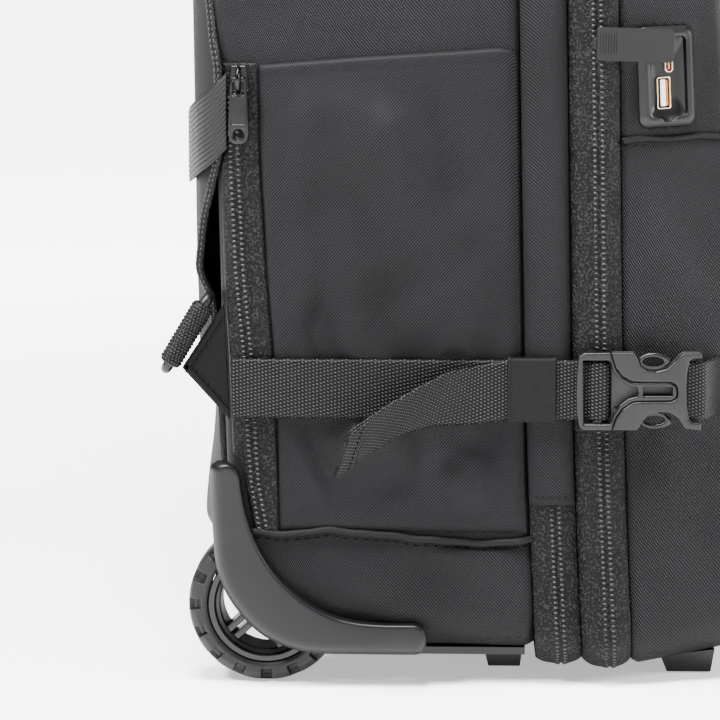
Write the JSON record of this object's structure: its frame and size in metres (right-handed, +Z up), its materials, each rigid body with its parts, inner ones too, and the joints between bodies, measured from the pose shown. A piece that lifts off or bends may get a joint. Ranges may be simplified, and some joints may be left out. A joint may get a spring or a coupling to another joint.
{
  "type": "wheeled backpack",
  "caption": "Wheeled backpack with two corner wheels, a stowed pull handle, an expansion zip, side compression straps with buckles and a charging port on one side.",
  "frame": {"origin": "on the floor, under the middle of the bag's depth and width", "axes": "+X towards the front of the bag, -X towards the back panel that lies on the wearer; +Y towards the wearer's right; +Z up"},
  "size_m": [0.2618, 0.3878, 0.5433],
  "materials": {
    "shell_cloth": "coarse woven canvas, coated",
    "cover_cloth": "soft fine weave, padded",
    "zip_tape": "woven zip tape with a nylon coil",
    "webbing": "ribbed webbing",
    "buckle_plastic": "satin moulded plastic",
    "guard_plastic": "fine matt moulded plastic",
    "black_plastic": "smooth moulded plastic",
    "tyre_rubber": "matt rubber",
    "cover_rubber": "matt rubber",
    "zip_metal": "gunmetal",
    "axle_steel": "plain",
    "socket_steel": "plain",
    "tube_aluminium": "satin"
  },
  "bodies": {
    "bag": {"main_compartment": "shell_cloth", "expansion_band": "shell_cloth", "expansion_flap": "shell_cloth", "front_compartment": "shell_cloth", "side_pocket_left": "shell_cloth", "side_pocket_right": "shell_cloth", "lower_back_pad": "shell_cloth", "side_tab_left": "shell_cloth", "side_tab_right": "shell_cloth", "harness_cover": "cover_cloth", "shoulder_strap_left": "cover_cloth", "shoulder_strap_right": "cover_cloth", "main_zip_band": "zip_tape", "side_zip_left": "zip_tape", "side_zip_right": "zip_tape", "compression_strap_left": "webbing", "compression_strap_right": "webbing", "strap_keeper_left": "webbing", "strap_keeper_right": "webbing", "front_strap": "webbing", "elastic_band": "webbing", "tab_loop_left": "webbing", "tab_loop_right": "webbing", "grab_handle": "webbing", "buckle_male_left": "buckle_plastic", "buckle_male_right": "buckle_plastic", "buckle_female_left": "buckle_plastic", "buckle_female_right": "buckle_plastic", "tab_ring_left": "buckle_plastic", "tab_ring_right": "buckle_plastic", "corner_guard_left": "guard_plastic", "corner_guard_right": "guard_plastic", "wheel_housing_left": "black_plastic", "wheel_housing_right": "black_plastic", "base_plate": "black_plastic", "middle_foot_left": "black_plastic", "middle_foot_right": "black_plastic", "front_foot_left": "black_plastic", "front_foot_right": "black_plastic", "port_bezel": "black_plastic", "handle_bezel": "black_plastic", "zip_slider_left": "zip_metal", "zip_slider_right": "zip_metal", "axle_left": "axle_steel", "axle_right": "axle_steel", "usb_a_socket": "socket_steel", "usb_c_socket": "socket_steel", "handle_guide_left": "tube_aluminium", "handle_guide_right": "tube_aluminium"},
    "wheel_left": {"rim_left": "black_plastic", "tyre_left": "tyre_rubber"},
    "wheel_right": {"rim_right": "black_plastic", "tyre_right": "tyre_rubber"},
    "puller_left": {"zip_puller_left": "zip_metal"},
    "puller_right": {"zip_puller_right": "zip_metal"},
    "pull_handle": {"handle_tube_left": "tube_aluminium", "handle_tube_right": "tube_aluminium", "handle_grip": "guard_plastic"},
    "port_flap": {"port_cover": "cover_rubber"}
  },
  "joints": [
    {"name": "wheel_left_spin", "type": "hinge", "parent": "bag", "child": "wheel_left", "pos_m": [-0.08567, -0.149, 0.034], "axis": [0, 1, 0], "continuous": true},
    {"name": "wheel_right_spin", "type": "hinge", "parent": "bag", "child": "wheel_right", "pos_m": [-0.08567, 0.149, 0.034], "axis": [0, 1, 0], "continuous": true},
    {"name": "puller_left_swing", "type": "hinge", "parent": "bag", "child": "puller_left", "pos_m": [-0.09577, -0.1704, 0.261], "axis": [-1, 0, 0], "range_deg": [0, 120]},
    {"name": "puller_right_swing", "type": "hinge", "parent": "bag", "child": "puller_right", "pos_m": [-0.09577, 0.1704, 0.261], "axis": [1, 0, 0], "range_deg": [0, 120]},
    {"name": "handle_slide", "type": "slide", "parent": "bag", "child": "pull_handle", "axis": [0, 0, 1], "range_m": [0, 0.36]},
    {"name": "port_flap_swing", "type": "hinge", "parent": "bag", "child": "port_flap", "pos_m": [0.08408, -0.1592, 0.27512], "axis": [0.3796, -0.9249, 0.0215], "range_deg": [0, 94.6]}
  ]
}
